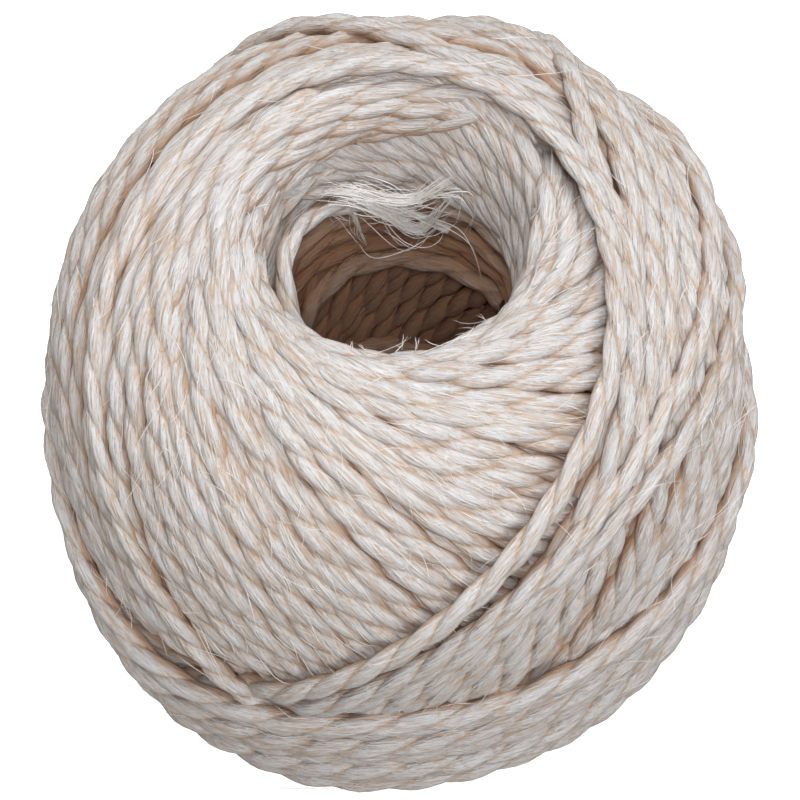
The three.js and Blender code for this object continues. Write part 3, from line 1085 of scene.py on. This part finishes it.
# %% A material that adds its own nodes
class Finish:
    """A material that adds its nodes by type, settings and sockets."""

    def __init__(self, name):
        self.data = bpy.data.materials.new(name)
        self.data.use_nodes = True
        self.tree = self.data.node_tree
        self.shader = self.tree.nodes["Principled BSDF"]

    def node(self, kind, settings=None, sockets=None):
        """Adds a node and gives its outputs."""
        node = self.tree.nodes.new(kind)
        for key, value in (settings or {}).items():
            setattr(node, key, value)
        for key, value in (sockets or {}).items():
            self.feed(node.inputs[key], value)
        return [Value(self, s) for s in node.outputs]

    def feed(self, socket, value):
        """Links a value to a socket, or sets the socket to a number or a colour."""
        if isinstance(value, Value):
            self.tree.links.new(value.socket, socket)
        elif hasattr(value, "__len__") and len(value) == 3 and socket.type == "RGBA":
            socket.default_value = (*value, 1)
        else:
            socket.default_value = value

    def attribute(self, name):
        """What the mesh carries under a name, as a vector and as a value."""
        return self.node("ShaderNodeAttribute", {"attribute_name": name})[1:3]

    def mix(self, share, one, other):
        """A colour between two: one where the share is nought, other where it is one."""
        return self.node("ShaderNodeMix", {"data_type": "RGBA"}, {0: share, 6: one, 7: other})[2]

    def streaks(self, place, across, lengthwise, detail=2.0, rough=0.5, shift=0.0):
        """Noise drawn out along the twine. Both scales are given in cells to the metre."""
        scaled = self.node("ShaderNodeVectorMath", {"operation": "MULTIPLY_ADD"}, {
            0: place, 1: (across, across, lengthwise), 2: (shift, shift * 1.7, shift * 0.6)})[0]
        return self.node("ShaderNodeTexNoise", {}, {
            "Vector": scaled, "Scale": 1.0, "Detail": detail, "Roughness": rough})[0]

    def place(self):
        """The place in the piece itself, so that the pattern stays put when the piece moves."""
        return self.node("ShaderNodeTexCoord")[3]


print("a finish adds", ", ".join(word for word in vars(Finish) if not word.startswith("_")))

# %% [markdown]
# ## Sisal
#
# Sisal fibre is cream where light strikes it and a warm tan where plies close on each other, because
# light passes through several fibres on its way out. The colour starts from the tone of the
# stretch and gets silvery and tan streaks along the twine. The warm shade of the grooves and of
# the gaps is painted on: tan in the grooves, and tan and then brown deep between the turns. The
# same streaks make the bump. The streaks follow the twine because they are drawn in the straight
# strand, before it was twisted and wound.

# %% Sisal finish
# The tan below serves the fibre's own tan streaks and also the painted shade in grooves and gaps; the
# brown is painted shade only, deep between the turns and down the bore.
CREAM = (0.77, 0.755, 0.755)
STRAW = (0.69, 0.64, 0.61)
TAN = (0.59, 0.385, 0.235)
SHADE_BROWN = (0.47, 0.230, 0.120)
SILVER = (0.83, 0.835, 0.85)


def sisal(name):
    """The finish of every strand. It reads what the meshes of twine carry."""
    finish = Finish(name)
    place, _ = finish.attribute("unwound")
    groove, nest, tone = (finish.attribute(key)[1] for key in ("groove", "nest", "tone"))
    fine = finish.streaks(place, 5200, 150, 3.0, 0.65)
    broad = finish.streaks(place, 2100, 110, 2.0, 0.55, 3.1)
    long = finish.streaks(place, 420, 60, 2.0, 0.5, 7.7)
    base = finish.mix((tone + (long - 0.5) * 1.6).between(0.05, 0.95), STRAW, CREAM)
    base = finish.mix(broad.between(0.50, 0.66) * 0.75, base, SILVER)
    base = finish.mix(broad.between(0.46, 0.34) * 0.55, base, TAN)
    base = finish.mix(fine.between(0.48, 0.36) * 0.62, base, TAN)
    base = finish.mix(fine.between(0.53, 0.64) * 0.72, base, SILVER)
    # Painted shade: the grooves between the plies are painted tan.
    groove_shade = (groove ** 2.0) * (0.35 + 0.65 * fine.between(0.65, 0.40))
    base = finish.mix(groove_shade * 0.95, base, TAN)
    # Painted shade between the strands and down the bore: tan where a corner lies a little deep, brown
    # where it lies deeper.
    base = finish.mix(nest.between(0.20, 0.46) * (0.50 + 0.40 * fine.between(0.6, 0.4)), base, TAN)
    base = finish.mix(nest.between(0.29, 0.66) * 0.92, base, SHADE_BROWN)
    finish.feed(finish.shader.inputs["Base Color"], base)
    finish.feed(finish.shader.inputs["Roughness"], 0.50 + 0.30 * (1 - fine))
    finish.shader.inputs["Specular IOR Level"].default_value = 0.40
    finish.shader.inputs["Sheen Weight"].default_value = 0.10
    finish.shader.inputs["Sheen Roughness"].default_value = 0.4
    height = fine * 0.55 + broad * 0.45 - groove * 0.25
    bump = finish.node("ShaderNodeBump", {}, {
        "Strength": 1.0, "Distance": 0.00090, "Height": height})[0]
    finish.feed(finish.shader.inputs["Normal"], bump)
    return finish.data


sisal_twine = sisal("sisal_twine")
for piece in twine_pieces + [loose_end]:
    piece.data.materials.append(sisal_twine)
print("sisal takes", len(sisal_twine.node_tree.nodes), "nodes")

# %% [markdown]
# ## Single fibres and the body under the turns
#
# A single fibre is almost white, with straw patches and a slight gloss. The body under the turns is
# seen only as darkness between strands, so it gets a brown of painted shade that is ridged by slanting
# bands.

# %% Fibre finish
single = Finish("single_fibres")
patch = single.node("ShaderNodeTexNoise", {}, {
    "Vector": single.place(), "Scale": 420.0, "Detail": 2.0})[0]
single.feed(single.shader.inputs["Base Color"],
            single.mix(patch.between(0.35, 0.65), (1.0, 0.995, 0.985), (0.92, 0.87, 0.81)))
single.feed(single.shader.inputs["Roughness"], 0.45 + 0.2 * patch)
for piece in (stray_piece, fray_piece):
    piece.data.materials.append(single.data)
print("single fibres take", len(single.tree.nodes), "nodes")

# %% Body finish
shade = Finish("body_under_turns")
where = shade.place()
bands = shade.node("ShaderNodeTexWave", {"wave_type": "BANDS", "bands_direction": "DIAGONAL"}, {
    "Vector": where, "Scale": 110.0, "Distortion": 2.0, "Detail": 2.0})[1]
speck = shade.node("ShaderNodeTexNoise", {}, {"Vector": where, "Scale": 900.0, "Detail": 3.0})[0]
# Painted shade: the dark brown stands for the shade deep between the strands.
shade.feed(shade.shader.inputs["Base Color"],
           shade.mix(bands * 0.6 + speck * 0.4, (0.10, 0.062, 0.038), (0.30, 0.205, 0.135)))
shade.feed(shade.shader.inputs["Roughness"], 0.8 + 0.1 * speck)
shade.feed(shade.shader.inputs["Normal"], shade.node("ShaderNodeBump", {}, {
    "Strength": 0.6, "Distance": 0.0006, "Height": bands})[0])
body_mesh.materials.append(shade.data)
print("the body takes", len(shade.tree.nodes), "nodes")

# %% [markdown]
# ## Floor and light
#
# The ball stands on a pale floor in a bright tent. The floor glows a little, so that it is white all
# over. It is hidden from scattered and mirrored light, because that much white below would
# light up the underside and take away the depth between the strands there.

# %% Floor
FLOOR_HALF = 3
corners = [(-FLOOR_HALF, -FLOOR_HALF, 0), (FLOOR_HALF, -FLOOR_HALF, 0),
           (FLOOR_HALF, FLOOR_HALF, 0), (-FLOOR_HALF, FLOOR_HALF, 0)]
floor_mesh = bpy.data.meshes.new("floor")
floor_mesh.from_pydata(corners, [], [(0, 1, 2, 3)])
floor = bpy.data.objects.new("floor", floor_mesh)
bpy.context.scene.collection.objects.link(floor)
floor.visible_diffuse = floor.visible_glossy = False
paper = Finish("floor_paper")
paper.shader.inputs["Base Color"].default_value = (0.92, 0.92, 0.92, 1)
paper.shader.inputs["Emission Color"].default_value = (1, 1, 1, 1)
paper.shader.inputs["Emission Strength"].default_value = 0.80
paper.shader.inputs["Roughness"].default_value = 0.9
floor_mesh.materials.append(paper.data)
print("floor is", 2 * FLOOR_HALF, "m across")

# %% [markdown]
# ## Lamps
#
# A large soft lamp hangs overhead, a little behind the ball. A smaller one in front, to the right,
# lights the mouth's far wall and the waist. A small one high in front draws the twist of the
# plies. The lamps are a touch cool and the sky is warm, so that the lit tops are silvery and
# the gaps between strands stay tan. The Standard view keeps such pale colours as they are,
# where the default view would grey them.

# %% Lamps
LAMP_TINT = (0.982, 0.993, 1.015)
world = bpy.data.worlds.new("white_tent")
bpy.context.scene.world = world
world.use_nodes = True
world.node_tree.nodes["Background"].inputs[0].default_value = (1.0, 0.94, 0.87, 1)
world.node_tree.nodes["Background"].inputs[1].default_value = 0.31
bpy.context.scene.view_settings.view_transform = "Standard"


def lamp(name, place, size, power):
    """A round soft lamp at a place, turned to the middle of the ball."""
    data = bpy.data.lights.new(name, "AREA")
    data.shape, data.size, data.energy, data.color = "DISK", size, power, LAMP_TINT
    obj = bpy.data.objects.new(name, data)
    obj.location = place
    to_ball = np.array([0, 0, MIDDLE]) - np.array(place)
    tilt = math.acos(-to_ball[2] / np.linalg.norm(to_ball))
    obj.rotation_euler = (tilt, 0, math.atan2(to_ball[1], to_ball[0]) - math.pi / 2)
    bpy.context.scene.collection.objects.link(obj)


lamp("overhead", (0.05, 0.24, 0.77), 0.8, 4.7)
lamp("front", (0.24, -0.58, 0.46), 0.4, 2.0)
lamp("key", (0.03, -0.34, 0.74), 0.15, 1.9)
print(len(bpy.data.lights), "lamps are set")

# %% [markdown]
# ## The strands and the solids
#
# Real strands stand a little proud of the plain solids.
